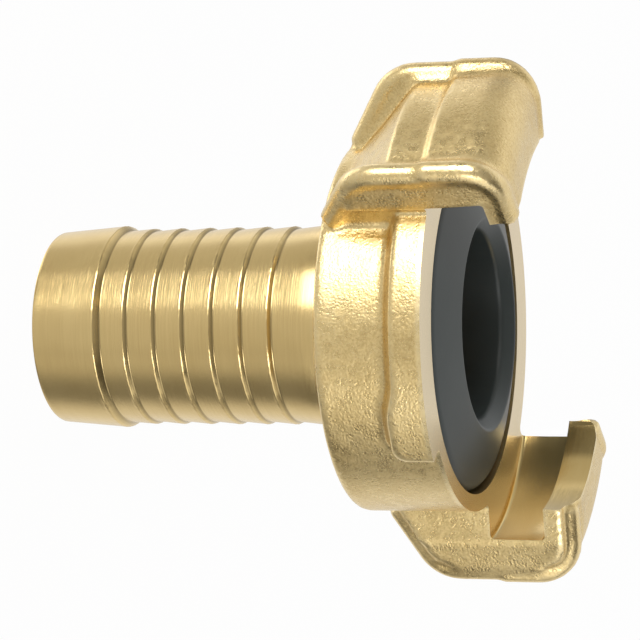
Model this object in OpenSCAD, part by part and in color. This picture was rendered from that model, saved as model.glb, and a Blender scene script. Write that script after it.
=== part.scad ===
// Claw hose coupling: a one-piece brass body with a barbed hose tail, a round
// head with two claws and two locking flanges, and a rubber face seal.
// It stands on the free end of its tail, with +Z along the water way and the
// claws centred on the X axis. All sizes are in millimetres.

/* [Hose tail] */
// Length of the tail, from its free end to the back of the head
tail_len = 34.2; // [30:0.1:60]
// Diameter at the free end
tail_end_d = 20.6; // [20:0.1:21.2]
// Diameter of the first, larger barb
lead_barb_d = 21.8; // [21.2:0.1:23]
// Distance from the free end to the crest of the first barb
lead_barb_len = 6.9; // [4:0.1:9]
// Diameter of the small barbs
barb_d = 21.1; // [20.9:0.1:22]
// Diameter at the bottom of the grooves between barbs
groove_d = 20.66; // [20:0.02:20.8]
// Distance from one small barb to the next
barb_pitch = 3.15; // [2.4:0.05:4.5]
// Length of the steep fall behind each crest
barb_fall = 0.85; // [0.5:0.05:1.5]
// Width of the flat land on each crest
barb_land = 0.25; // [0.1:0.05:0.5]
// Diameter of the plain neck between the last barb and the head
neck_d = 20.3; // [19.6:0.1:20.6]
// Bore of the tail
tail_bore_d = 16; // [12:0.5:17]
// Chamfer on both edges of the free end
tail_chamfer = 0.4; // [0.1:0.1:0.8]

/* [Head] */
// Diameter of the round head
drum_d = 39.2; // [38.4:0.1:39.6]
// Length of the head, from its back to its front face
drum_len = 11.8; // [10.5:0.1:16]
// Rounding of the back edge of the head
drum_edge_r = 0.9; // [0.3:0.1:2]
// Fillet between the neck and the back of the head
neck_fillet = 1.4; // [0.5:0.1:1.6]
// Water way through the head, behind the seal
head_bore_d = 19; // [17.5:0.5:19.5]
// Thickness of brass left between the seal recess and the tail's bore taper
web_t = 3.4; // [2:0.1:4]
// Diameter of the seal recess in the front face
recess_d = 35.6; // [35:0.1:36.4]
// Depth of the seal recess
recess_depth = 6; // [5:0.1:6.6]

/* [Locking flanges] */
// Diameter of the flange segments, which the mate's claws grip
flange_d = 44; // [42:0.1:45]
// Thickness of a flange segment at its rim
flange_t = 3.2; // [2.4:0.1:3.8]
// How far the sloping back of a segment runs out at its foot
flange_lean = 1.2; // [0.4:0.1:1.8]
// Angle that a segment covers, from the side of its claw
flange_arc = 69.4; // [50:0.2:78]
// Extra thickness of the detent hump near the segment's free end
hump_h = 0.8; // [0.2:0.1:1.2]
// Angle that the full height of the hump covers
hump_arc = 12; // [8:1:20]
// Angle over which the back ramps up to the hump
ramp_arc = 11; // [6:1:18]
// Rounding of the back corner at the segment's free end
flange_corner_r = 1.3; // [0.4:0.1:2]

/* [Claws] */
// Distance between the lips of the two claws
claw_gap = 40; // [39.8:0.1:41.6]
// Angle that each claw covers
claw_arc = 43.4; // [36:0.2:48]
// Diameter of the floor of the claw slots
slot_d = 47; // [46:0.1:49]
// Width of the claw slots, from the front face to the lips
slot_w = 6; // [5:0.1:8]
// Thickness of the lips
lip_t = 2.8; // [2.2:0.1:4]
// Diameter over the ribs of the two claws
claw_d = 57; // [55:0.1:60]
// Steepness of the ribs' back edge, measured from the axis
rib_slope = 59.4; // [54:0.2:66]
// Thickness of the ribs at both ends of a claw
rib_t = 2.4; // [1.6:0.1:3.2]
// How far the ribs stand proud of the claws' end faces
rib_proud = 0.35; // [0.1:0.05:0.6]
// Outer rounding of the rear corner of a rib
rib_rear_r = 5.2; // [3:0.1:6]
// Outer rounding of the front corner of a rib
rib_front_r = 3.7; // [2.4:0.1:4.5]
// Width of the blend from the crest of a rib into the saddle
rib_blend = 2; // [1.2:0.1:3]
// How far behind the head the ribs' slope would meet its side
rib_overhang = 0.4; // [0:0.1:0.8]
// Depth of the saddle between the ribs, just in front of its step
saddle_depth = 1.2; // [0.6:0.1:1.6]
// Height of the step across the saddle
saddle_step = 0.6; // [0.2:0.1:0.8]
// Length of the saddle's lower floor, behind the step
saddle_len = 3.4; // [1.5:0.1:4]
// Distance of the saddle's foot from the back of the head
saddle_foot = 0.8; // [0.4:0.1:2]
// Rounding of the saddle's rear crease
saddle_rear_r = 2; // [0.5:0.1:3]
// How far the saddle lies below the ribs at the front corner
saddle_fade = 0.3; // [0.1:0.1:0.6]
// Corner fillet between the slot floor and the lip
slot_fillet = 0.5; // [0.2:0.1:1]

/* [Seal] */
// Clearance between the seal and the wall of its recess
seal_gap = 0.2; // [0.1:0.05:0.4]
// Bore of the seal
seal_bore_d = 19.8; // [18:0.1:20.6]
// Diameter of the seal's crown, its most forward ring
crown_d = 22.3; // [21.4:0.1:24]
// How far the crown stands in front of the front face
crown_h = 1.45; // [0.8:0.05:2]
// Rounding of the crown
crown_r = 0.5; // [0.3:0.05:0.7]
// How far the outer edge of the seal lies below the front face
seal_sink = 0.3; // [0:0.05:0.6]
// Rounding of the outer edge of the seal
seal_edge_r = 0.9; // [0.4:0.1:1.4]
// How far the bevel inside the crown runs down the bore
seal_bevel = 1.3; // [0.6:0.1:2]

/* [Hidden] */
$fn = 96;
eps = 0.02;

face_z = tail_len + drum_len;
slot_end_z = face_z + slot_w;
front_z = slot_end_z + lip_t;
recess_floor_z = face_z - recess_depth;
taper_end_z = recess_floor_z - web_t;
taper_len = (head_bore_d - tail_bore_d);
drum_r = drum_d / 2;
flange_r = flange_d / 2;
flange_back_z = face_z - flange_t;
flange_angle = claw_arc / 2 + flange_arc;
claw_r = claw_d / 2;
lip_r = claw_gap / 2;
slot_r = slot_d / 2;
rib_r = rib_t / 2;

// Material that the facing cut takes off the forged blank's front.
face_stock = 1;

// The small barbs fill the tail and leave a plain neck of at least one pitch.
barb_count = floor((tail_len - lead_barb_len - 1.3 * barb_pitch) / barb_pitch);

// Rounded corner of a polyline: the tangent points and centre of an arc of radius r.
function unit(v) = v / norm(v);
function turn(a, b, c) = acos(max(-1, min(1, unit(b - a) * unit(c - b))));
function tangent_len(a, b, c, r) = r * tan(turn(a, b, c) / 2);
function arc_centre(a, b, c, r) =
    b + unit(unit(a - b) + unit(c - b)) * r / cos(turn(a, b, c) / 2);

// Points of an arc of radius r about centre c, between two angles.
function arc(c, r, from, to, steps = 16) =
    [for (i = [0:steps]) let (a = from + (to - from) * i / steps) c + r * [cos(a), sin(a)]];

// The same polyline with every inner corner rounded.
function corner_arc(a, b, c, r, steps = 16) =
    let (
        m = arc_centre(a, b, c, r),
        p = b + unit(a - b) * tangent_len(a, b, c, r) - m,
        q = b + unit(c - b) * tangent_len(a, b, c, r) - m,
        from = atan2(p[1], p[0]),
        sweep = atan2(p[0] * q[1] - p[1] * q[0], p * q)
    )
    arc(m, r, from, from + sweep, steps);
function rounded(points, radii) = [
    for (i = [0:len(points) - 1])
        each (i == 0 || i == len(points) - 1 || radii[i] == 0)
            ? [points[i]]
            : corner_arc(points[i - 1], points[i], points[i + 1], radii[i])
];

// Both halves of the head are alike: the second is the first turned half round.
module both_sides() {
    for (half = [0, 180]) rotate([0, 0, half]) children();
}

// Ramps of the barbs, each ending in a short land and a steep fall.
function barb_points(crest_z, crest_d) = [
    [crest_d / 2, crest_z - barb_land / 2],
    [crest_d / 2, crest_z + barb_land / 2],
    [groove_d / 2, crest_z + barb_land / 2 + barb_fall]
];

// Outline of the tail and the round head, with stock left on the front face.
function blank_outline() = concat(
    [[0, 0], [tail_end_d / 2 - tail_chamfer, 0], [tail_end_d / 2, tail_chamfer]],
    barb_points(lead_barb_len, lead_barb_d),
    [for (i = [1:barb_count]) each barb_points(lead_barb_len + i * barb_pitch, barb_d)],
    [[neck_d / 2, lead_barb_len + (barb_count + 0.6) * barb_pitch]],
    arc([neck_d / 2 + neck_fillet, tail_len - neck_fillet], neck_fillet, 180, 90),
    arc([drum_r - drum_edge_r, tail_len + drum_edge_r], drum_edge_r, -90, 0),
    [[drum_r, face_z + face_stock], [0, face_z + face_stock]]
);

module blank() {
    rotate_extrude() polygon(blank_outline());
}

// Water way: the tail's bore, a taper, the head's bore and the seal recess.
module water_way() {
    rotate_extrude() polygon([
        [0, -eps],
        [tail_bore_d / 2 + tail_chamfer, -eps],
        [tail_bore_d / 2, tail_chamfer],
        [tail_bore_d / 2, taper_end_z - taper_len],
        [head_bore_d / 2, taper_end_z],
        [head_bore_d / 2, recess_floor_z],
        [recess_d / 2, recess_floor_z],
        [recess_d / 2, slot_end_z - face_stock],
        [0, slot_end_z - face_stock]
    ]);
}

// Section of a flange segment whose back stands back_z up at the rim and slopes to its foot.
function flange_line(back_z) = [
    [drum_r - 1, back_z - flange_lean * (flange_r - drum_r + 1) / (flange_r - drum_r)],
    [flange_r, back_z],
    [flange_r, face_z + face_stock],
    [drum_r - 1, face_z + face_stock]
];

// Places along a flange segment, each as [angle, offset of the back]: the rounded corner
// at its free end, the hump, the ramp and the level part that runs into the claw.
function flange_places() =
    let (
        corner_angle = flange_corner_r / flange_r * 180 / PI,
        hump_end = flange_angle - corner_angle,
        full_from = flange_angle - hump_arc,
        level_from = full_from - ramp_arc,
        steps = 16
    )
    concat(
        [for (u = [90:-22.5:0]) [hump_end + corner_angle * sin(u), flange_corner_r * (1 - cos(u)) - hump_h]],
        [for (i = [1:3]) [hump_end + (full_from - hump_end) * i / 3, -hump_h]],
        [for (i = [1:6]) [full_from - ramp_arc * i / 6, -hump_h * (1 + cos(30 * i)) / 2]],
        [for (i = [1:steps]) [level_from + (claw_arc / 4 - level_from) * i / steps, 0]]
    );

// Locking flange segment beside a claw: level at first, then ramped up to a hump.
module flange_segment() {
    skin([for (p = flange_places()) [p[0], flange_line(flange_back_z + p[1])]]);
}

// A claw's outline where a rib runs, as [radius, height] points from the back of
// the head, up the slope, along the top and down the front. The outline is set in by d.
function rib_line(d) =
    let (
        foot_z = tail_len - rib_overhang + d / sin(rib_slope),
        back_z = tail_len + 0.1 + d,
        top_r = claw_r - d,
        foot_r = drum_r + (back_z - foot_z) * tan(rib_slope),
        top_z = foot_z + (top_r - drum_r) / tan(rib_slope)
    )
    claw_line(
        [foot_r, back_z],
        [top_r, top_z],
        [for (z = step_places()) [top_r, z]],
        [top_r, front_z - d / 2],
        max(rib_rear_r - d, 0.3),
        max(rib_front_r - d, 0.3)
    );

// The outline across the saddle, with as many points as the ribs' outline.
function saddle_line() =
    let (
        floor_r = claw_r - saddle_depth,
        low_r = floor_r - saddle_step,
        places = step_places()
    )
    claw_line(
        [drum_r - 0.2, tail_len + saddle_foot],
        [low_r, places[0] - saddle_len],
        [
            [low_r, places[0]],
            [floor_r, places[1]],
            [(floor_r + claw_r - saddle_fade) / 2, places[2]]
        ],
        [claw_r - saddle_fade, front_z],
        saddle_rear_r,
        rib_front_r
    );

// Heights of the step across the saddle and of a point between it and the front.
function step_places() = [
    face_z + 0.2,
    face_z + 0.2 + saddle_step,
    (face_z + front_z - rib_front_r) / 2 + 0.4
];

// A claw outline from its foot, over the rear corner, the points along the top and
// the front corner, to the lip. It goes back inside the stock that the turning takes off.
function claw_line(foot, rear, top, front, rear_r, front_r) = concat(
    [[drum_r - 1, foot[1]], foot],
    corner_arc(foot, rear, top[0], rear_r, 8),
    top,
    corner_arc(top[2], front, [lip_r, front[1]], front_r, 8),
    [[lip_r, front[1]], [lip_r, face_z + 2 * face_stock], [drum_r - 1, face_z - face_stock]]
);

// Sections across one half of a claw, from its end face to the middle, each as
// [distance from the end face, inset of the rib's outline, share of the saddle].
rib_sections = concat(
    [for (a = [0:22.5:90]) [rib_r * (1 - cos(a)), rib_r * (1 - sin(a)), 0]],
    [for (i = [1:6]) [rib_r + rib_blend * i / 6, 0, (1 - cos(30 * i)) / 2]]
);

function claw_section(k) =
    let (
        rib = rib_line(k[1]),
        saddle = saddle_line()
    )
    [for (i = [0:len(rib) - 1]) rib[i] * (1 - k[2]) + saddle[i] * k[2]];

// Forged claw with its end faces sunk between the ribs.
module forged_claw() {
    difference() {
        claw_skin();
        end_face_cut();
        mirror([0, 1, 0]) end_face_cut();
    }
}

// Recess that leaves a rib standing proud along the outline of an end face.
module end_face_cut() {
    outline = rib_line(rib_t);
    inner = concat(
        [[drum_r - 2, outline[0][1] - 2]],
        [for (i = [1:len(outline) - 4]) outline[i]],
        [[lip_r - 2, front_z + 1]]
    );
    depth = rib_proud / claw_r * 180 / PI;
    skin([[claw_arc / 2 + 2, inner], [claw_arc / 2 - depth, inner]]);
}

// One smooth skin through all the sections, from end face to end face.
module claw_skin() {
    half = [
        for (k = rib_sections)
            [claw_arc / 2 - k[0] / claw_r * 180 / PI, claw_section(k)]
    ];
    n = len(half);
    middle = half[n - 1];
    steps = 10;
    skin(concat(
        half,
        [for (i = [1:steps - 1]) [middle[0] * (1 - 2 * i / steps), middle[1]]],
        [for (i = [n - 1:-1:0]) [-half[i][0], half[i][1]]]
    ));
}

// Closed skin through sections, each as [angle about Z, outline in (radius, height)],
// with falling angles and outlines of as many points.
module skin(sections) {
    m = len(sections[0][1]);
    last = (len(sections) - 1) * m;
    points = [
        for (s = sections) each
            [for (p = s[1]) [p[0] * cos(s[0]), p[0] * sin(s[0]), p[1]]]
    ];
    sides = [
        for (j = [0:len(sections) - 2])
            for (i = [0:m - 1])
                let (
                    a = j * m + i,
                    b = j * m + (i + 1) % m,
                    c = a + m,
                    d = b + m
                )
                each [[a, c, b], [b, c, d]]
    ];
    first_cap = [for (i = [0:m - 1]) i];
    last_cap = [for (i = [m - 1:-1:0]) last + i];
    polyhedron(points, concat([first_cap, last_cap], sides));
}

// Turning behind the lips, which faces the head and its flanges in the same cut.
module claw_turning() {
    rotate_extrude() polygon(concat(
        [[0, face_z]],
        arc([slot_r - slot_fillet, face_z + slot_fillet], slot_fillet, -90, 0),
        arc([slot_r - slot_fillet, slot_end_z - slot_fillet], slot_fillet, 0, 90),
        [[0, slot_end_z]]
    ));
}

module coupling_body() {
    color("#c9ab6e")
    difference() {
        union() {
            blank();
            both_sides() forged_claw();
            both_sides() flange_segment();
        }
        claw_turning();
        water_way();
    }
}

// Outline of the seal: bore, bevel, crown, sloping face and rounded outer edge.
function seal_outline() =
    let (
        outer_r = recess_d / 2 - seal_gap,
        edge_z = face_z - seal_sink
    )
    rounded(
        [
            [seal_bore_d / 2, recess_floor_z],
            [seal_bore_d / 2, face_z + crown_h - seal_bevel],
            [crown_d / 2, face_z + crown_h],
            [outer_r, edge_z],
            [outer_r, recess_floor_z]
        ],
        [0, seal_edge_r, crown_r, seal_edge_r, 0]
    );

module seal() {
    color("#3c4040") rotate_extrude() polygon(seal_outline());
}

coupling_body();
seal();
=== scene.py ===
import math

import bmesh
import bpy
import numpy as np
from mathutils import Matrix, Vector, noise


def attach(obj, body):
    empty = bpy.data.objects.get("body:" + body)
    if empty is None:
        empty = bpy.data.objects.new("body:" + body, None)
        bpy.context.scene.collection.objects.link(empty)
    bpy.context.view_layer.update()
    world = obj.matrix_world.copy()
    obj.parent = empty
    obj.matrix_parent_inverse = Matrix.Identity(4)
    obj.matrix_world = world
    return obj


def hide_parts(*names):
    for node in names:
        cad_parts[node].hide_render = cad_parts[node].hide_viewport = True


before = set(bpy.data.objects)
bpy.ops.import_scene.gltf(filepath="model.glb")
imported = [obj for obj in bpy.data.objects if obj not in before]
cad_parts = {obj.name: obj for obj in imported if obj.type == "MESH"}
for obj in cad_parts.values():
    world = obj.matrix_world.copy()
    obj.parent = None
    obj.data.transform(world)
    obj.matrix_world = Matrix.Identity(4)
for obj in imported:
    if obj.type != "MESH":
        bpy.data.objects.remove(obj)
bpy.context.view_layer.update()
scene = bpy.context.scene

# Sizes in millimetres and degrees, most of them the CAD part's. R is a radius, Z a height
# along the water way. Meshes are made in millimetres and scaled to metres at the end.
MM = 0.001
TAIL_LEN = 34.2
FACE_Z = 46.0
SLOT_END_Z = 52.0
FRONT_Z = 54.8
DRUM_R = 19.6
FLANGE_R = 22.0
FLANGE_BACK_Z = 42.8
LIP_R = 20.0
SLOT_R = 23.5
SLOT_FILLET = 0.5
RECESS_R = 17.8
RECESS_Z = 40.0
HEAD_BORE_R = 9.5
TAIL_BORE_R = 8.0
CLAW_R = 28.7
CLAW_HALF = 21.7
RIB_R = 1.2

# The forging: where its claws and flanges start inside the drum, what the facing cut takes
# off it, and the voxel that blends it.
CORE_R = 15.0
FLANGE_ROOT_R = 17.0
STOCK = 0.8
VOXEL = 0.33

# Heights at which the outside of a claw steps out, and where its front part begins.
STEP_PLACES = (FACE_Z + 0.2, FACE_Z + 0.8, 49.0)

# Each claw's two end faces, as distances from its middle plane: at the drum, the flange,
# the slot floor, the rib and the lip, and last how much they narrow at the front.
REAR_FACE = (8.2, 9.2, 9.9, 10.3, 8.6, -0.25)
UPPER_FACES = ((7.1, 7.6, 9.1, 9.75, 7.85, 0.5), REAR_FACE)
LOWER_FACES = ((7.0, 7.5, 8.4, 9.7, 7.3, 0.5), REAR_FACE)

# The tail's barbs: the height of each crest, and the crest's radius, the groove's radius
# and the length of the fall between them, for the first barb and for the others.
FIRST = 7.05
CRESTS = (10.3, 13.5, 16.7, 19.9, 23.1, 26.3)
FIRST_CREST_R, FIRST_LOW_R, FIRST_FALL = 10.9, 10.36, 0.68
CREST_R, LOW_R, FALL = 10.56, 10.29, 0.46

# The photograph's upright is square to the water way, at this angle about it.
PHOTO_UP = math.radians(141.35)
AXIS = Vector((0, 0, 1))
UP = Vector((math.cos(PHOTO_UP), math.sin(PHOTO_UP), 0))
TOWARD = Vector((math.cos(PHOTO_UP + math.pi / 2), math.sin(PHOTO_UP + math.pi / 2), 0))


# ---------------------------------------------------------------- outlines
def arc(centre, r, start, end, steps=12):
    out = []
    for i in range(steps + 1):
        a = math.radians(start + (end - start) * i / steps)
        out.append((centre[0] + r * math.cos(a), centre[1] + r * math.sin(a)))
    return out


def corner(a, b, c, r, steps=8):
    """Points of the arc of radius r that rounds the corner b of a polyline a, b, c."""
    a, b, c = Vector(a), Vector(b), Vector(c)
    u, v = (a - b).normalized(), (c - b).normalized()
    half = u.angle(v) / 2
    reach = r / math.tan(half)
    centre = b + (u + v).normalized() * r / math.sin(half)
    p, q = b + u * reach - centre, b + v * reach - centre
    start = math.atan2(p.y, p.x)
    sweep = math.atan2(p.x * q.y - p.y * q.x, p.dot(q))
    return [
        (centre.x + r * math.cos(start + sweep * i / steps),
         centre.y + r * math.sin(start + sweep * i / steps))
        for i in range(steps + 1)
    ]


def rounded(points, radii):
    """A polyline with its corners rounded, where the radius isn't 0."""
    out = []
    for i, p in enumerate(points):
        if radii[i]:
            out += corner(points[i - 1], p, points[i + 1], radii[i])
        else:
            out.append(p)
    return out


def mix(a, b, t):
    return tuple(x * (1 - t) + y * t for x, y in zip(a, b))


def polar(r, turn, z):
    return (r * math.cos(turn), r * math.sin(turn), z)


# ---------------------------------------------------------------- meshes
def new_object(name, bm):
    mesh = bpy.data.meshes.new(name)
    bmesh.ops.recalc_face_normals(bm, faces=bm.faces)
    bm.to_mesh(mesh)
    bm.free()
    obj = bpy.data.objects.new(name, mesh)
    scene.collection.objects.link(obj)
    return obj


def lathe(name, outline, steps=256):
    """Closed solid: an outline of (radius, height), closed on itself or on the axis."""
    bm = bmesh.new()
    rings = []
    for r, z in outline:
        turns = [2 * math.pi * i / steps for i in range(steps if r > 0 else 1)]
        rings.append([bm.verts.new(polar(r, t, z)) for t in turns])
    closed = outline[0][0] > 0
    for j in range(len(rings) if closed else len(rings) - 1):
        a, b = rings[j], rings[(j + 1) % len(rings)]
        for i in range(steps):
            k = (i + 1) % steps
            quad = [a[i % len(a)], a[k % len(a)], b[k % len(b)], b[i % len(b)]]
            quad = [v for n, v in enumerate(quad) if v not in quad[:n]]
            if len(quad) > 2:
                bm.faces.new(quad)
    return new_object(name, bm)


def bridge(bm, rings):
    """Adds the walls between rings of equally many points, and a cap at each end."""
    for p, q in zip(rings, rings[1:]):
        for i in range(len(p)):
            j = (i + 1) % len(p)
            bm.faces.new((p[i], p[j], q[j], q[i]))
    bm.faces.new(rings[0])
    bm.faces.new(reversed(rings[-1]))


def skin(bm, sections):
    """Adds a closed skin through sections, each [angle, outline in (radius, height)]."""
    bridge(bm, [
        [bm.verts.new(polar(r, math.radians(a), z)) for r, z in line] for a, line in sections
    ])


def tube(bm, points, r, across, sides=16):
    """Adds a closed round bar of radius r along points that lie in a plane square to across."""
    rings = []
    for i, p in enumerate(points):
        ahead = points[min(i + 1, len(points) - 1)] - points[max(i - 1, 0)]
        out = ahead.normalized().cross(across)
        rings.append([
            bm.verts.new(p + (across * math.cos(t) + out * math.sin(t)) * r)
            for t in (2 * math.pi * k / sides for k in range(sides))
        ])
    bridge(bm, rings)


def apply_modifiers(obj):
    dg = bpy.context.evaluated_depsgraph_get()
    mesh = bpy.data.meshes.new_from_object(obj.evaluated_get(dg))
    obj.modifiers.clear()
    old = obj.data
    obj.data = mesh
    bpy.data.meshes.remove(old)


def boolean(obj, other, operation):
    mod = obj.modifiers.new("cut", "BOOLEAN")
    mod.operation, mod.object, mod.solver = operation, other, "MANIFOLD"
    apply_modifiers(obj)
    bpy.data.objects.remove(other)


def read_points(mesh, what="co"):
    values = np.empty(len(mesh.vertices) * 3)
    mesh.vertices.foreach_get(what, values)
    return values.reshape(-1, 3)


def neighbour_mean(mesh):
    """A function that gives each point the mean of its neighbours' values."""
    n = len(mesh.vertices)
    edges = np.empty(len(mesh.edges) * 2, dtype=np.int64)
    mesh.edges.foreach_get("vertices", edges)
    a, b = edges.reshape(-1, 2).T
    count = np.maximum(np.bincount(a, minlength=n) + np.bincount(b, minlength=n), 1)

    def around(values):
        if values.ndim > 1:
            return np.stack([around(column) for column in values.T], axis=1)
        return (np.bincount(a, values[b], n) + np.bincount(b, values[a], n)) / count

    return around


def soften(obj, rounds):
    """Rounds edges by about a voxel. Each second step pushes back, so nothing shrinks."""
    pull, push = 0.6, -0.62
    co, around = read_points(obj.data), neighbour_mean(obj.data)
    for _ in range(rounds):
        for share in (pull, push):
            co += share * (around(co) - co)
    obj.data.vertices.foreach_set("co", co.ravel())
    obj.data.update()


# ---------------------------------------------------------------- forging
def claw_outline(foot, middle, rear, top, front, rear_r, front_r):
    return (
        [(CORE_R, foot[1]), foot, middle] + corner(middle, rear, top[0], rear_r) + top
        + corner(top[2], front, (LIP_R, front[1]), front_r) + [(CORE_R, front[1])]
    )


def rib_outline(d):
    """A claw's outline along its ribs, a distance d inside their surface."""
    lean = math.radians(59.4)
    foot_z = TAIL_LEN - 0.4 + d / math.sin(lean)
    back_z = TAIL_LEN + 0.1 + d
    top_r = CLAW_R - d
    low_r = top_r - 0.25
    foot = (DRUM_R + (back_z - foot_z) * math.tan(lean), back_z)
    rear = (low_r, foot_z + (low_r - DRUM_R) / math.tan(lean))
    top = list(zip((low_r, top_r, top_r), STEP_PLACES))
    front = (top_r, FRONT_Z - d / 2)
    return claw_outline(foot, mix(foot, rear, 0.4), rear, top, front, 5.2 - d, 4.9 - d)


def saddle_outline():
    """A claw's outline along the hollow between its ribs."""
    low_r, floor_r = CLAW_R - 1.9, CLAW_R - 1.3
    foot, middle = (DRUM_R - 0.2, TAIL_LEN + 1.3), (22.6, 38.8)
    rear = (low_r, STEP_PLACES[0] - 3.6)
    top = list(zip((low_r, floor_r, floor_r + 0.1), STEP_PLACES))
    front = (floor_r + 0.3, FRONT_Z + 0.45)
    return claw_outline(foot, middle, rear, top, front, 0.7, 4.2)


def claw_section(d, share):
    return [mix(a, b, share) for a, b in zip(rib_outline(d), saddle_outline())]


def degrees_of(mm):
    return math.degrees(mm / CLAW_R)


def add_claw(bm, faces):
    """A claw's block between its end faces, and a round rib along the edge of each."""
    proud, blend, low, steps, parts = 0.35, 2.2, 0.25, 6, 12
    half = [[CLAW_HALF - degrees_of(proud), claw_section(RIB_R, 0)]]
    for i in range(steps + 1):
        ease = (1 - math.cos(math.pi * i / steps)) / 2
        half.append([CLAW_HALF - degrees_of(RIB_R + blend * i / steps),
                     claw_section(low * (1 - i / steps), ease)])
    last, saddle = half[-1]
    middle = [[last * (1 - 2 * i / parts), saddle] for i in range(1, parts)]
    skin(bm, half + middle + [[-a, line] for a, line in reversed(half)])

    # The rib's middle line, from its foot over the top and down the front to the lip.
    line = rib_outline(RIB_R)[1:-1]
    line = [mix(line[0], line[1], t / 6) for t in range(6)] + line[1:]
    line += [mix(line[-1], (LIP_R, line[-1][1]), t / 4) for t in range(1, 5)]
    for side in (1, -1):
        a = math.radians(CLAW_HALF - degrees_of(RIB_R)) * side
        tube(bm, [Vector(polar(r, a, z)) for r, z in line], RIB_R,
             Vector((-math.sin(a), math.cos(a), 0)))
    for side, widths in zip((1, -1), faces):
        add_end_face(bm, side, widths)


def add_end_face(bm, side, widths):
    """The plane between an end's ribs, given by its distances from the claw's middle plane."""
    drum, flange, slot, rib, lip, narrow = widths
    inset, thick, slot_z, step_z, lip_z = 1.7, 1.5, 46.4, 49, 51.5
    line = rib_outline(inset)
    top = max(r for r, z in line)
    rear = [p for p in line[1:] if p[1] < FACE_Z]
    front = [p for p in line if p[1] > FACE_Z + 4][::-1]
    rings = []
    for r in (CORE_R, 18, DRUM_R, LIP_R, 21, FLANGE_R, 22.7, SLOT_R, 24.6, 25.7, top):
        z_rear, z_front = np.interp(r, *zip(*rear)), np.interp(r, *zip(*front))
        behind = np.interp(r, (CORE_R, DRUM_R, FLANGE_R, SLOT_R, top),
                           (drum - 2, drum, flange, slot, rib))
        ahead = np.interp(r, (CORE_R, LIP_R, SLOT_R, top), (lip - 2, lip, slot, rib))
        reach = min(lip_z, z_front - 0.3)
        places = [z_rear + (slot_z - z_rear) * i / 4 for i in range(5)] + [47.5, step_z]
        places += [reach + (z_front - reach) * i / 3 for i in range(4)]
        outside = np.interp(r, (24, 27), (1, 0.3))
        outer = []
        for z in places:
            w = np.interp(z, (step_z, 51), (behind, ahead))
            w -= narrow * np.interp(z, (47, lip_z, 55), (-0.2, 0.2, 1)) * outside
            outer.append((w, z))
        ring = outer + [(w - thick, z) for w, z in reversed(outer)]
        rings.append([bm.verts.new((math.sqrt(r * r - w * w), side * w, z)) for w, z in ring])
    bridge(bm, rings)


def add_flange(bm):
    """A flange segment: level from under its claw, then a ramp to a hump that ends in a
    rounded back corner. Its back slopes out to the foot."""
    start, end, ramp_len, hump_len = 10.8, 91.1, 11.0, 12.0
    lean, hump, corner_r = 1.2, 0.8, 1.3
    corner_angle = math.degrees(corner_r / FLANGE_R)
    full_from = end - hump_len
    places = [
        (end - corner_angle * (1 - math.sin(math.radians(u))),
         corner_r * (1 - math.cos(math.radians(u))) - hump)
        for u in (90, 67.5, 45, 22.5, 0)
    ]
    places += [(end - corner_angle + (full_from - end + corner_angle) * i / 3, -hump)
               for i in (1, 2, 3)]
    places += [(full_from - ramp_len * i / 6, -hump * (1 + math.cos(math.pi * i / 6)) / 2)
               for i in range(1, 7)]
    places += [(full_from - ramp_len + (start - full_from + ramp_len) * i / 20, 0)
               for i in range(1, 21)]
    deep = lean * (FLANGE_R - FLANGE_ROOT_R) / (FLANGE_R - DRUM_R)
    skin(bm, [
        [a, [(FLANGE_ROOT_R, FLANGE_BACK_Z + dz - deep), (FLANGE_R, FLANGE_BACK_Z + dz),
             (FLANGE_R, FACE_Z + STOCK), (FLANGE_ROOT_R, FACE_Z + STOCK)]]
        for a, dz in places
    ])


def make_forging():
    """Claws, flanges and drum in one blended skin. The upper claw is a little short at the
    front. The dies met off the axis that the part was then turned on, by each claw's drop."""
    front_from, drum_corner = 50, 0.5
    bm = bmesh.new()
    for turn, faces, short, drop in (
        (0, LOWER_FACES, 0.0, 0.45),
        (math.pi, UPPER_FACES, 0.45, 0.25),
    ):
        before = len(bm.verts)
        add_claw(bm, faces)
        bm.verts.ensure_lookup_table()
        for v in bm.verts[before:]:
            v.co.z -= short * max(v.co.z - front_from, 0) / (FRONT_Z - front_from)
        bmesh.ops.translate(bm, verts=bm.verts[before:], vec=UP * -drop * math.cos(turn))
        add_flange(bm)
        bm.verts.ensure_lookup_table()
        bmesh.ops.rotate(bm, verts=bm.verts[before:], cent=(0, 0, 0),
                         matrix=Matrix.Rotation(turn, 3, "Z"))
    forging = new_object("coupling_head", bm)
    drum = lathe(
        "drum",
        [(0, TAIL_LEN), (DRUM_R - drum_corner, TAIL_LEN)]
        + arc((DRUM_R - drum_corner, TAIL_LEN + drum_corner), drum_corner, -90, 0)
        + [(DRUM_R, FACE_Z + STOCK), (0, FACE_Z + STOCK)],
        180,
    )
    both = [forging, drum]
    with bpy.context.temp_override(active_object=forging, selected_editable_objects=both):
        bpy.ops.object.join()
    mod = forging.modifiers.new("remesh", "REMESH")
    mod.mode, mod.voxel_size = "VOXEL", VOXEL
    apply_modifiers(forging)
    soften(forging, 8)
    return forging


# ---------------------------------------------------------------- turned work
def barb(line, z, crest, low, fall):
    """Adds a straight ramp up to a crest at height z, and a straight fall behind it. The
    points close to each corner keep its rounding small when the surface is shaded."""
    start, top = line[-1], (crest - 0.02, z - 0.16)
    line += [mix(start, top, t) for t in (0.03, 0.06, 0.94, 0.97, 1.0)]
    line += [(crest - 0.004, z - 0.08), (crest, z), (crest - 0.018, z + 0.08)]
    high, foot = (crest - 0.05, z + 0.13), (low + 0.03, z + fall - 0.05)
    line += [mix(high, foot, t) for t in (0.0, 0.1, 0.9, 1.0)]
    line += [(low + 0.006, z + fall), (low, z + fall + 0.06)]


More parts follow.
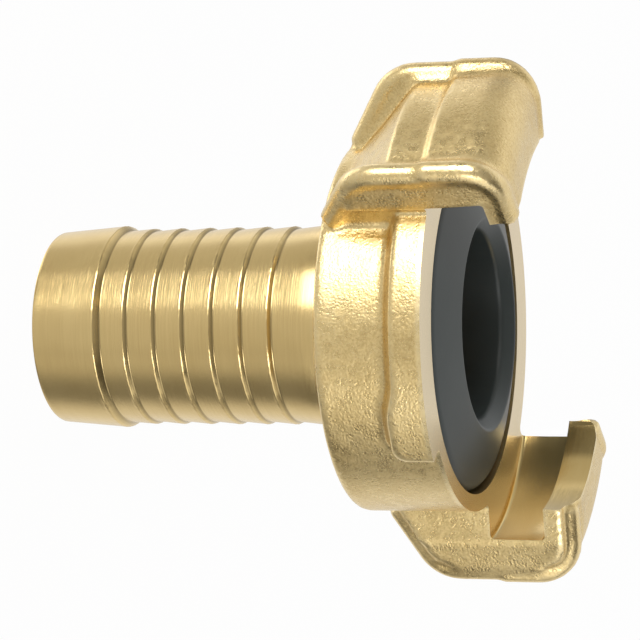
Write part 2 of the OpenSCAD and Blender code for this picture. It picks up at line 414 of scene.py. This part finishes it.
def tail_outline():
    """From the free end's face along the outside to the head, and back through the bore."""
    neck, fillet = (10.62, 29.9), 1.9
    line = [(8.4, 0.0), (10.1, 0.0), (10.27, 0.05), (10.34, 0.18), (10.36, 0.4)]
    barb(line, FIRST, FIRST_CREST_R, FIRST_LOW_R, FIRST_FALL)
    for z in CRESTS:
        barb(line, z, CREST_R, LOW_R, FALL)
    line += [mix((LOW_R, CRESTS[-1] + 0.52), neck, t) for t in (0.05, 0.5, 0.95)]
    line += [(10.63, 30.3), (10.635, 31.2)]
    line += arc((12.54, TAIL_LEN - fillet), fillet, 180, 90, 10)
    line += [(12.0, TAIL_LEN + 0.4), (12.0, TAIL_LEN + 1.5), (HEAD_BORE_R + 0.1, TAIL_LEN + 2.6)]
    return line + [(TAIL_BORE_R, TAIL_LEN - 0.6), (TAIL_BORE_R, 0.4)]


def make_tail():
    """The tail, with a slightly ragged burr where the tool left each crest."""
    outside, reach, burr, grain = 10.2, 0.2, 0.003, 3.1
    tail = lathe("tail", tail_outline())
    for v in tail.data.vertices:
        r, z = math.hypot(v.co.x, v.co.y), v.co.z
        if r > outside and any(abs(z - c) < reach for c in (FIRST, *CRESTS)):
            grow = 1 + burr * noise.noise(v.co * grain)
            v.co.x *= grow
            v.co.y *= grow
    return tail


def machine(head):
    """Faces the head, turns the slots, the lips' opening, the seal recess and the bore, and
    joins the tail to it."""
    f, beyond = SLOT_FILLET, FRONT_Z + 2
    cutter = lathe(
        "cutter",
        [(0, RECESS_Z), (RECESS_R, RECESS_Z), (RECESS_R, FACE_Z)]
        + arc((SLOT_R - f, FACE_Z + f), f, -90, 0, 5)
        + arc((SLOT_R - f, SLOT_END_Z - f), f, 0, 90, 5)
        + [(LIP_R, SLOT_END_Z), (LIP_R, beyond), (0, beyond)],
        360,
    )
    boolean(head, cutter, "DIFFERENCE")
    low, high = 30, RECESS_Z + 1
    bore = lathe("bore", [(0, low), (HEAD_BORE_R, low), (HEAD_BORE_R, high), (0, high)])
    boolean(head, bore, "DIFFERENCE")
    boolean(head, make_tail(), "UNION")


def seal_outline():
    bore, outer, edge_z = 9.9, RECESS_R - 0.2, FACE_Z - 0.3
    crown = (11.15, FACE_Z + 1.45)
    return rounded(
        [(bore, RECESS_Z), (bore, crown[1] - 1.3), crown, (outer, edge_z), (outer, RECESS_Z)],
        [0, 0.9, 0.35, 1.7, 0],
    )


body = make_forging()
machine(body)
seal = lathe("seal_ring", seal_outline())


# ---------------------------------------------------------------- materials
class Nodes:
    """Short way to add linked nodes to a tree."""

    def __init__(self, tree):
        self.tree = tree
        tree.nodes.clear()

    def add(self, kind, inputs=None, **settings):
        node = self.tree.nodes.new(kind)
        for k, v in settings.items():
            setattr(node, k, v)
        for k, v in (inputs or {}).items():
            if hasattr(v, "links"):
                self.tree.links.new(v, node.inputs[k])
            else:
                node.inputs[k].default_value = v
        return node

    def math(self, op, a, b=0.0, c=0.0, clamp=False):
        node = self.add("ShaderNodeMath", {0: a, 1: b, 2: c}, operation=op, use_clamp=clamp)
        return node.outputs[0]

    def here(self):
        return self.add("ShaderNodeTexCoord").outputs["Object"]

    def stored(self, name):
        return self.add("ShaderNodeAttribute", attribute_name=name).outputs["Fac"]

    def noise(self, at, scale, detail, roughness=0.5):
        inputs = {"Vector": at, "Scale": scale, "Detail": detail, "Roughness": roughness}
        return self.add("ShaderNodeTexNoise", inputs).outputs["Fac"]

    def bump(self, height, strength, distance):
        inputs = {"Height": height, "Strength": strength, "Distance": distance}
        return self.add("ShaderNodeBump", inputs).outputs["Normal"]

    def ramp(self, fac, stops):
        node = self.add("ShaderNodeValToRGB", {"Fac": fac})
        els = node.color_ramp.elements
        while len(els) < len(stops):
            els.new(0.5)
        for e, (p, c) in zip(els, stops):
            e.position, e.color = p, (*c, 1)
        return node.outputs["Color"]

    def surface(self, tone, roughness, bump, metallic):
        bsdf = self.add("ShaderNodeBsdfPrincipled", {
            "Base Color": tone, "Metallic": metallic, "Roughness": roughness, "Normal": bump,
        })
        self.add("ShaderNodeOutputMaterial", {"Surface": bsdf.outputs[0]})


def new_material(name):
    mat = bpy.data.materials.new(name)
    mat.use_nodes = True
    return mat, Nodes(mat.node_tree)


def brass_forged():
    """Fine grit over low lumps, calmer where edges are worn, and lighter there: worn brass, and
    partly a painted sheen along the ribs.
    """
    mat, n = new_material("brass_forged")
    at, edge = n.here(), n.stored("edge")
    grit = n.noise(at, 4200.0, 2.0)
    lumps = n.noise(at, 1000.0, 3.0, 0.6)
    cloud = n.noise(at, 150.0, 4.0)
    calm = n.math("MULTIPLY_ADD", edge, -0.7, 0.95, clamp=True)
    bump = n.bump(n.math("MULTIPLY_ADD", lumps, 0.55, grit), calm, 0.000045)
    mottle = n.math("MULTIPLY_ADD", cloud, 0.5, n.math("MULTIPLY", grit, 0.5))
    # Lighter on bulging edges: worn brass, and partly a painted sheen along the ribs.
    tone = n.ramp(n.math("MULTIPLY_ADD", edge, 0.25, mottle), [
        (0.38, (0.68, 0.505, 0.23)), (0.52, (0.83, 0.64, 0.315)), (0.8, (0.92, 0.75, 0.43)),
    ])
    rough = n.add("ShaderNodeMapRange", {
        "Value": lumps, "From Min": 0.3, "From Max": 0.7, "To Min": 0.21, "To Max": 0.38,
    }).outputs["Result"]
    n.surface(tone, rough, bump, 1.0)
    return mat


def brass_turned(name, low, high, roughness, lines, strength):
    """Tool marks around the water way, so many lines to a metre, and painted shade at the foot
    of each barb's fall.
    """
    mat, n = new_material(name)
    at = n.here()
    drawn = n.add("ShaderNodeMapping", {"Vector": at, "Scale": (90.0, 90.0, lines)})
    rings = n.noise(drawn.outputs["Vector"], 1.0, 4.0, 0.7)
    cloud = n.noise(at, 160.0, 2.0)
    bump = n.bump(rings, strength, 0.00002)
    mottle = n.math("MULTIPLY_ADD", rings, 0.5, n.math("MULTIPLY", cloud, 0.5))
    tone = n.ramp(mottle, [(0.3, low), (0.7, high)])
    # Painted shade: the tone is up to 40% darker at the foot of each barb's fall.
    unshaded_share = n.math("MULTIPLY_ADD", n.stored("root_shade"), -0.4, 1.0)
    root_shaded_tone = n.add("ShaderNodeVectorMath", {0: tone, "Scale": unshaded_share}, operation="SCALE")
    n.surface(root_shaded_tone.outputs[0], roughness, bump, 1.0)
    return mat


def rubber():
    mat, n = new_material("rubber")
    at = n.here()
    bump = n.bump(n.noise(at, 1500.0, 3.0), 0.25, 0.00003)
    tone = n.ramp(n.noise(at, 120.0, 2.0), [
        (0.3, (0.028, 0.036, 0.0365)), (0.7, (0.038, 0.048, 0.0485)),
    ])
    n.surface(tone, 0.42, bump, 0.0)
    return mat


FORGED, TAIL, RING, SLOT, LIP, INSIDE = range(6)
BODY_MATERIALS = (
    brass_forged(),
    brass_turned("brass_turned", (0.72, 0.53, 0.235), (0.86, 0.66, 0.32), 0.22, 9000.0, 0.6),
    brass_turned("brass_faced", (0.80, 0.66, 0.43), (0.84, 0.70, 0.47), 0.25, 90.0, 0.1),
    brass_turned("brass_slot", (0.70, 0.52, 0.22), (0.78, 0.60, 0.29), 0.19, 5000.0, 0.5),
    brass_turned("brass_lip", (0.68, 0.50, 0.20), (0.76, 0.58, 0.27), 0.09, 5000.0, 0.3),
    brass_turned("brass_inside", (0.70, 0.50, 0.22), (0.78, 0.58, 0.28), 0.35, 3000.0, 0.4),
)


def paint(mesh):
    """Gives each face the finish of the operation that made it."""
    near, tail_reach = 0.02, 13.0
    for p in mesh.polygons:
        c, nz = p.center, p.normal.z
        r = math.hypot(c.x, c.y)
        out = (c.x * p.normal.x + c.y * p.normal.y) / max(r, 1e-9)
        by_slot = r < SLOT_R + near and c.z > FACE_Z - near
        kind = FORGED
        if abs(c.z - FACE_Z) < near and nz > 0.9:
            kind = RING
        elif by_slot and c.z < SLOT_END_Z + near and (out < -0.5 or nz < -0.9):
            kind = SLOT
        elif by_slot and c.z < FACE_Z + SLOT_FILLET and nz > 0.1 and out < 0:
            kind = SLOT
        elif abs(r - LIP_R) < near and c.z > SLOT_END_Z and out < -0.9:
            kind = LIP
        elif r < RECESS_R + near and TAIL_LEN < c.z < FACE_Z and out < 0.5:
            kind = INSIDE
        elif c.z < TAIL_LEN + 0.001 and r < tail_reach:
            kind = INSIDE if out < -0.5 else TAIL
        p.material_index = kind


def store(mesh, name, values):
    layer = mesh.attributes.new(name, "FLOAT", "POINT")
    layer.data.foreach_set("value", values.astype(np.float32))


def mark_edges(mesh):
    """Stores how strongly each point bulges, for the wear and painted sheen along the forging's
    edges, and which points lie at the foot of a barb's fall, for the painted shade there."""
    level, span, root_shade_reach = 0.006, 0.03, 0.1
    co, normal, around = read_points(mesh), read_points(mesh, "normal"), neighbour_mean(mesh)
    bulge = ((co - around(co)) * normal).sum(axis=1)
    for _ in range(3):
        bulge = 0.5 * bulge + 0.5 * around(bulge)
    # The bulge lightens the forging's tone on its edges: wear, and partly a painted sheen.
    store(mesh, "edge", np.clip((bulge - level) / span, 0, 1))
    r, z = np.hypot(co[:, 0], co[:, 1]), co[:, 2]
    # Points at the foot of each barb's fall, which get painted shade.
    root_shade = np.zeros(len(co))
    for crest, fall in [(FIRST, FIRST_FALL)] + [(c, FALL) for c in CRESTS]:
        root_shade[(r > 10) & (abs(z - crest - fall) < root_shade_reach)] = 1
    store(mesh, "root_shade", root_shade)


body.data.materials.clear()
for mat in BODY_MATERIALS:
    body.data.materials.append(mat)
mark_edges(body.data)
paint(body.data)
seal.data.materials.append(rubber())

for obj, sharp_from in ((body, 38), (seal, 40)):
    obj.data.transform(Matrix.Scale(MM, 4))
    for p in obj.data.polygons:
        p.use_smooth = True
    obj.data.set_sharp_from_angle(angle=math.radians(sharp_from))
    obj.data.update()

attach(body, "root")
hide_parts("coupling_body")
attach(seal, "root")
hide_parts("seal")


# ---------------------------------------------------------------- camera, floor and light
def make_camera():
    """The camera as fitted to the photograph. Its distance and the point that it looks at
    are in the photograph's pixels, and its angles are measured from TOWARD."""
    swing, tip, roll = math.radians(17.662), math.radians(-0.9335), math.radians(-0.1539)
    distance, px_per_mm, image_px, sensor = 2933.1, 9.4, 640.0, 36.0
    target = AXIS * 270.958 + UP * 5.090
    back = (AXIS * math.sin(swing) + TOWARD * math.cos(swing)) * math.cos(tip)
    back += UP * math.sin(tip)
    look = -back
    right = look.cross(UP).normalized()
    up = right.cross(look)
    m = Matrix((
        right * math.cos(roll) + up * math.sin(roll),
        -right * math.sin(roll) + up * math.cos(roll),
        back,
    )).transposed().to_4x4()
    m.translation = (target + back * distance) / px_per_mm * MM
    data = bpy.data.cameras.new("camera")
    data.sensor_width = sensor
    data.lens = sensor * distance / image_px
    data.clip_start, data.clip_end = 0.01, 10
    cam = bpy.data.objects.new("camera", data)
    cam.matrix_world = m
    scene.collection.objects.link(cam)
    scene.camera = cam


def make_floor():
    """A plain floor. Its material is white to camera, glossy and transmission rays, but the
    floor is hidden from glossy, diffuse and shadow rays, so the brass shows the tent alone."""
    bm = bmesh.new()
    bmesh.ops.create_circle(bm, cap_ends=True, radius=3.0, segments=64)
    floor = new_object("floor", bm)
    mat, n = new_material("floor_white")
    path = n.add("ShaderNodeLightPath")
    seen = n.math("MAXIMUM", path.outputs["Is Camera Ray"], path.outputs["Is Glossy Ray"])
    seen = n.math("MAXIMUM", seen, path.outputs["Is Transmission Ray"])
    diffuse = n.add("ShaderNodeBsdfDiffuse", {"Color": (0.85, 0.85, 0.85, 1)}).outputs[0]
    glow = n.add("ShaderNodeEmission", {"Color": (1, 1, 1, 1), "Strength": 1.0}).outputs[0]
    both = n.add("ShaderNodeMixShader", {"Fac": 0.97, 1: diffuse, 2: glow}).outputs[0]
    pick = n.add("ShaderNodeMixShader", {"Fac": seen, 1: diffuse, 2: both}).outputs[0]
    n.add("ShaderNodeOutputMaterial", {"Surface": pick})
    floor.data.materials.append(mat)
    floor.visible_glossy = False
    floor.visible_diffuse = False
    floor.visible_shadow = False


def make_world():
    """A light tent: bright and dark bands around the water way, as seen from the coupling.
    Turn angles run from the viewer's side (0) over the top (90) to the back (180). The place
    along the water way runs from -1, straight behind the tail, to 1, straight ahead. Only
    camera rays see plain white in the tent's place."""
    world = bpy.data.worlds.new("studio")
    scene.world = world
    world.use_nodes = True
    n = Nodes(world.node_tree)
    way = n.add("ShaderNodeTexCoord").outputs["Generated"]
    turn_soft = 0.012

    def along(axis):
        node = n.add("ShaderNodeVectorMath", {0: way, 1: tuple(axis)}, operation="DOT_PRODUCT")
        return node.outputs["Value"]

    def at(deg):
        return (deg + 180) / 360

    def tone(v):
        """A grey of this strength, warmer the darker it is."""
        warm = min(max((0.95 - v) / 0.7, 0), 1)
        return (v, v * (1 - 0.05 * warm), v * (1 - 0.20 * warm))

    axial = along(AXIS)
    turn = n.add("ShaderNodeMapRange", {
        "Value": n.math("ARCTAN2", along(UP), along(TOWARD)),
        "From Min": -math.pi, "From Max": math.pi,
    }).outputs["Result"]
    tent = n.ramp(turn, [(at(e), tone(v)) for e, v in (
        (-180, 0.78), (-145, 0.90), (-118, 0.74), (-99, 0.10), (-74, 0.11), (-56, 0.38),
        (-25, 0.60), (16, 0.66), (50, 0.50), (80, 0.47), (92, 0.54), (110, 0.61),
        (124, 0.95), (145, 0.95), (180, 0.78),
    )])

    def step(value, place, soft, before, after):
        return n.add("ShaderNodeMapRange", {
            "Value": value, "From Min": place - soft, "From Max": place + soft,
            "To Min": before, "To Max": after,
        }, interpolation_type="SMOOTHSTEP").outputs["Result"]

    def patch(turn_from, turn_to, axial_from, axial_to, soft):
        """A soft-edged window in the tent, as a factor from 0 to 1."""
        sides = n.math("MULTIPLY", step(turn, at(turn_from), turn_soft, 0, 1),
                       step(turn, at(turn_to), turn_soft, 1, 0))
        ends = n.math("MULTIPLY", step(axial, axial_from, soft, 0, 1),
                      step(axial, axial_to, soft, 1, 0))
        return n.math("MULTIPLY", sides, ends)

    lights = 0.0
    for strength, window in (
        (6.2, (22, 62, -0.345, 0.35, 0.04)),
        (0.25, (25, 43, -1.0, -0.40, 0.05)),
        (5.0, (-47, -34, -0.05, 0.45, 0.05)),
        (0.16, (-112, -40, -1.0, -0.42, 0.05)),
        (0.9, (-95, -44, -0.21, 0.6, 0.02)),
        (1.3, (85, 130, -1.0, -0.64, 0.1)),
        (0.6, (119, 136, -0.37, -0.245, 0.012)),
        (0.14, (-78, -20, -0.264, -0.10, 0.012)),
    ):
        lights = n.math("MULTIPLY_ADD", patch(*window), strength, lights)
    shade = 1.0
    for strength, window in (
        (-0.55, (60, 88, -0.255, 0.5, 0.02)),
        (-0.45, (120, 160, -0.245, 0.2, 0.03)),
        (-0.45, (-75, 75, 0.42, 1.0, 0.04)),
    ):
        kept = n.math("MULTIPLY_ADD", patch(*window), strength, 1.0)
        shade = n.math("MULTIPLY", kept, shade)
    both = n.add("ShaderNodeVectorMath", {0: tent, 1: lights}, operation="ADD").outputs[0]
    total = n.add("ShaderNodeVectorMath", {0: both, "Scale": shade}, operation="SCALE")
    path = n.add("ShaderNodeLightPath").outputs["Is Camera Ray"]
    studio = n.add("ShaderNodeBackground", {"Color": total.outputs[0], "Strength": 1.0})
    white = n.add("ShaderNodeBackground", {"Color": (1, 1, 1, 1), "Strength": 1.0})
    pick = n.add("ShaderNodeMixShader", {
        "Fac": path, 1: studio.outputs[0], 2: white.outputs[0],
    })
    n.add("ShaderNodeOutputWorld", {"Surface": pick.outputs[0]})


make_camera()
make_floor()
make_world()
scene.view_settings.view_transform = "Standard"
